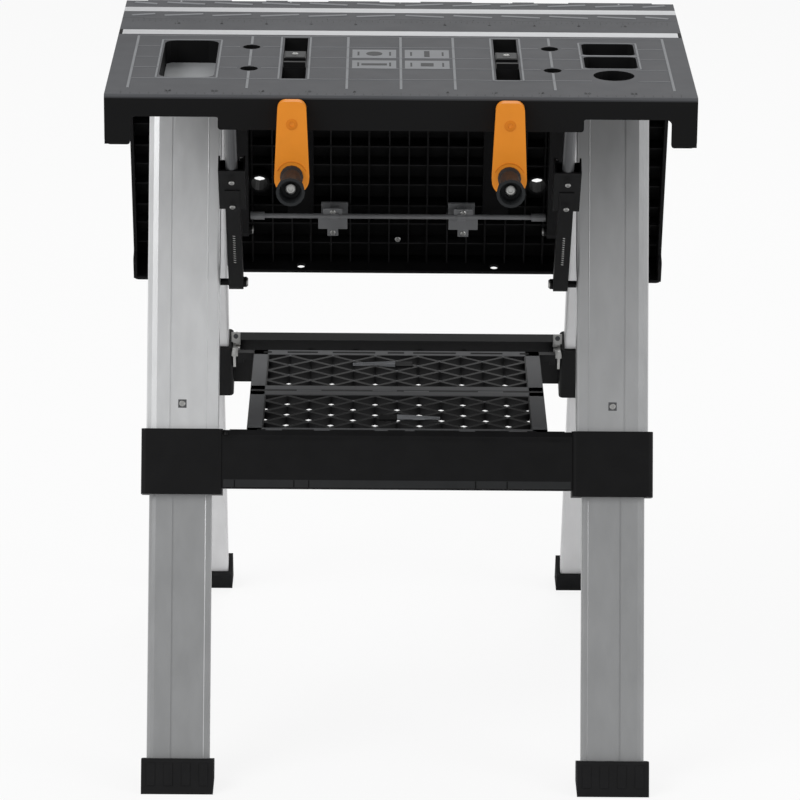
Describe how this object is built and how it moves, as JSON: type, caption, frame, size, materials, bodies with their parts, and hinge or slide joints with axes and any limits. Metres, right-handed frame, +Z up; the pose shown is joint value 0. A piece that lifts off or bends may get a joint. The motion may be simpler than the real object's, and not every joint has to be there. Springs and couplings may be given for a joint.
{
  "type": "folding clamping table",
  "caption": "Folding clamping table and sawhorse: centre beam, two hinged half-tops, crank clamps, A-frame legs and a folding shelf.",
  "frame": {"origin": "on the floor below the middle of the part's box at rest", "axes": "+X along the beam, -Y towards the cranks, +Z up"},
  "size_m": [0.635, 0.8224, 0.836],
  "materials": {
    "top_grey": "satin",
    "black_plastic": "satin",
    "orange_plastic": "satin",
    "aluminium": "satin",
    "steel": "satin",
    "dark_steel": "satin",
    "rubber": "matte",
    "shelf_black": "satin"
  },
  "bodies": {
    "beam": {"beam": "top_grey", "beam_strip": "aluminium", "leg_bracket_left": "dark_steel", "leg_bracket_right": "dark_steel", "hinge_pin_front": "steel", "hinge_pin_rear": "steel"},
    "front_half_top": {"front_panel": "top_grey", "front_panel_strip": "aluminium", "front_rod": "dark_steel", "front_saddle_left": "dark_steel", "front_saddle_right": "dark_steel"},
    "rear_half_top": {"rear_panel": "top_grey", "rear_panel_strip": "aluminium", "rear_rod": "dark_steel", "rear_saddle_left": "dark_steel", "rear_saddle_right": "dark_steel"},
    "rear_legs": {"upper_leg_rear_left": "aluminium", "upper_leg_rear_right": "aluminium", "lower_leg_rear_left": "aluminium", "lower_leg_rear_right": "aluminium", "foot_rear_left": "rubber", "foot_rear_right": "rubber", "crossbar_rear": "black_plastic", "shelf_bracket_rear_left": "steel", "shelf_bracket_rear_right": "steel"},
    "front_legs": {"upper_leg_front_left": "aluminium", "upper_leg_front_right": "aluminium", "lower_leg_front_left": "aluminium", "lower_leg_front_right": "aluminium", "foot_front_left": "rubber", "foot_front_right": "rubber", "crossbar_front": "black_plastic", "shelf_bracket_front_left": "steel", "shelf_bracket_front_right": "steel"},
    "shelf_rear_half": {"shelf_rear": "shelf_black", "shelf_seam_pin": "steel"},
    "shelf_front_half": {"shelf_front": "shelf_black"},
    "strut_shoe_front_left": {"strut_shoe_front_left": "black_plastic"},
    "strut_tube_front_left": {"strut_tube_front_left": "aluminium"},
    "strut_channel_front_left": {"strut_channel_front_left": "black_plastic"},
    "strut_shoe_front_right": {"strut_shoe_front_right": "black_plastic"},
    "strut_tube_front_right": {"strut_tube_front_right": "aluminium"},
    "strut_channel_front_right": {"strut_channel_front_right": "black_plastic"},
    "strut_shoe_rear_left": {"strut_shoe_rear_left": "black_plastic"},
    "strut_tube_rear_left": {"strut_tube_rear_left": "aluminium"},
    "strut_channel_rear_left": {"strut_channel_rear_left": "black_plastic"},
    "strut_shoe_rear_right": {"strut_shoe_rear_right": "black_plastic"},
    "strut_tube_rear_right": {"strut_tube_rear_right": "aluminium"},
    "strut_channel_rear_right": {"strut_channel_rear_right": "black_plastic"},
    "crank_left": {"crank_left": "orange_plastic", "spindle_left": "steel"},
    "grip_left": {"grip_left": "black_plastic"},
    "carriage_left": {"carriage_left": "black_plastic"},
    "crank_right": {"crank_right": "orange_plastic", "spindle_right": "steel"},
    "grip_right": {"grip_right": "black_plastic"},
    "carriage_right": {"carriage_right": "black_plastic"}
  },
  "joints": [
    {"name": "front_top_fold", "type": "hinge", "parent": "beam", "child": "front_half_top", "pos_m": [0, 0.01413, 0.812], "axis": [1, 0, 0], "range_deg": [0, 72.03]},
    {"name": "rear_top_fold", "type": "hinge", "parent": "beam", "child": "rear_half_top", "pos_m": [0, 0.10413, 0.812], "axis": [1, 0, 0], "range_deg": [0, 72.08]},
    {"name": "leg_fold", "type": "hinge", "parent": "beam", "child": "rear_legs", "pos_m": [0, 0.07933, 0.752], "axis": [-1, 0, 0], "range_deg": [0, 22.03]},
    {"name": "shelf_rear_fold", "type": "hinge", "parent": "rear_legs", "child": "shelf_rear_half", "pos_m": [0, 0.22759, 0.359], "axis": [-1, 0, 0], "range_deg": [0, 64.5]},
    {"name": "shelf_seam_fold", "type": "hinge", "parent": "shelf_rear_half", "child": "shelf_front_half", "pos_m": [0, 0.05913, 0.359], "axis": [1, 0, 0], "range_deg": [0, 173.06]},
    {"name": "front_leg_fold", "type": "hinge", "parent": "shelf_front_half", "child": "front_legs", "pos_m": [0, -0.10933, 0.359], "axis": [-1, 0, 0], "range_deg": [0, 64.5]},
    {"name": "strut_shoe_slide_front_left", "type": "slide", "parent": "front_half_top", "child": "strut_shoe_front_left", "axis": [0, 1, 0], "range_m": [0, 0.2201]},
    {"name": "strut_turn_front_left", "type": "hinge", "parent": "strut_shoe_front_left", "child": "strut_tube_front_left", "pos_m": [-0.1865, -0.25087, 0.79], "axis": [-1, 0, 0], "range_deg": [0, 127.59]},
    {"name": "strut_slide_front_left", "type": "slide", "parent": "strut_tube_front_left", "child": "strut_channel_front_left", "axis": [0, -0.6209, 0.7839], "range_m": [0, 0.0874]},
    {"name": "strut_shoe_slide_front_right", "type": "slide", "parent": "front_half_top", "child": "strut_shoe_front_right", "axis": [0, 1, 0], "range_m": [0, 0.2201]},
    {"name": "strut_turn_front_right", "type": "hinge", "parent": "strut_shoe_front_right", "child": "strut_tube_front_right", "pos_m": [0.1865, -0.25087, 0.79], "axis": [-1, 0, 0], "range_deg": [0, 127.59]},
    {"name": "strut_slide_front_right", "type": "slide", "parent": "strut_tube_front_right", "child": "strut_channel_front_right", "axis": [0, -0.6209, 0.7839], "range_m": [0, 0.0874]},
    {"name": "strut_shoe_slide_rear_left", "type": "slide", "parent": "rear_half_top", "child": "strut_shoe_rear_left", "axis": [0, 0.3077, -0.9515], "range_m": [0, 0.2201]},
    {"name": "strut_turn_rear_left", "type": "hinge", "parent": "strut_shoe_rear_left", "child": "strut_tube_rear_left", "pos_m": [-0.1865, 0.09704, 0.76241], "axis": [-1, 0, 0], "range_deg": [0, 127.59]},
    {"name": "strut_slide_rear_left", "type": "slide", "parent": "strut_tube_rear_left", "child": "strut_channel_rear_left", "axis": [0, 0.2945, -0.9556], "range_m": [0, 0.0874]},
    {"name": "strut_shoe_slide_rear_right", "type": "slide", "parent": "rear_half_top", "child": "strut_shoe_rear_right", "axis": [0, 0.3077, -0.9515], "range_m": [0, 0.2201]},
    {"name": "strut_turn_rear_right", "type": "hinge", "parent": "strut_shoe_rear_right", "child": "strut_tube_rear_right", "pos_m": [0.1865, 0.09704, 0.76241], "axis": [-1, 0, 0], "range_deg": [0, 127.59]},
    {"name": "strut_slide_rear_right", "type": "slide", "parent": "strut_tube_rear_right", "child": "strut_channel_rear_right", "axis": [0, 0.2945, -0.9556], "range_m": [0, 0.0874]},
    {"name": "crank_turn_left", "type": "hinge", "parent": "front_half_top", "child": "crank_left", "pos_m": [-0.1166, -0.33487, 0.802], "axis": [0, 1, 0], "range_deg": [-3240, 4680]},
    {"name": "grip_spin_left", "type": "hinge", "parent": "crank_left", "child": "grip_left", "pos_m": [-0.1166, -0.38087, 0.7445], "axis": [0, 1, 0], "continuous": true},
    {"name": "carriage_slide_left", "type": "slide", "parent": "front_half_top", "child": "carriage_left", "axis": [0, 1, 0], "range_m": [-0.0451, 0.0651]},
    {"name": "crank_turn_right", "type": "hinge", "parent": "front_half_top", "child": "crank_right", "pos_m": [0.1166, -0.33487, 0.802], "axis": [0, 1, 0], "range_deg": [-3240, 4680]},
    {"name": "grip_spin_right", "type": "hinge", "parent": "crank_right", "child": "grip_right", "pos_m": [0.1166, -0.38087, 0.7445], "axis": [0, 1, 0], "continuous": true},
    {"name": "carriage_slide_right", "type": "slide", "parent": "front_half_top", "child": "carriage_right", "axis": [0, 1, 0], "range_m": [-0.0451, 0.0651]}
  ],
  "couplings": [
    {"joint": "shelf_rear_fold", "follows": "leg_fold", "ratio": 2.9272},
    {"joint": "shelf_seam_fold", "follows": "leg_fold", "ratio": 7.8544},
    {"joint": "front_leg_fold", "follows": "leg_fold", "ratio": 2.9272},
    {"joint": "strut_shoe_slide_front_left", "follows": "front_top_fold", "m_per_rad": 0.17488},
    {"joint": "strut_turn_front_left", "follows": "front_top_fold", "ratio": 1.7702},
    {"joint": "strut_slide_front_left", "follows": "front_top_fold", "m_per_rad": 0.069434},
    {"joint": "strut_shoe_slide_front_right", "follows": "front_top_fold", "m_per_rad": 0.17488},
    {"joint": "strut_turn_front_right", "follows": "front_top_fold", "ratio": 1.7702},
    {"joint": "strut_slide_front_right", "follows": "front_top_fold", "m_per_rad": 0.069434},
    {"joint": "strut_shoe_slide_rear_left", "follows": "rear_top_fold", "m_per_rad": 0.17488},
    {"joint": "strut_turn_rear_left", "follows": "rear_top_fold", "ratio": 1.7702},
    {"joint": "strut_slide_rear_left", "follows": "rear_top_fold", "m_per_rad": 0.069434},
    {"joint": "strut_shoe_slide_rear_right", "follows": "rear_top_fold", "m_per_rad": 0.17488},
    {"joint": "strut_turn_rear_right", "follows": "rear_top_fold", "ratio": 1.7702},
    {"joint": "strut_slide_rear_right", "follows": "rear_top_fold", "m_per_rad": 0.069434},
    {"joint": "carriage_slide_left", "follows": "crank_turn_left", "m_per_rad": 0.00079577},
    {"joint": "carriage_slide_right", "follows": "crank_turn_right", "m_per_rad": 0.00079577}
  ]
}
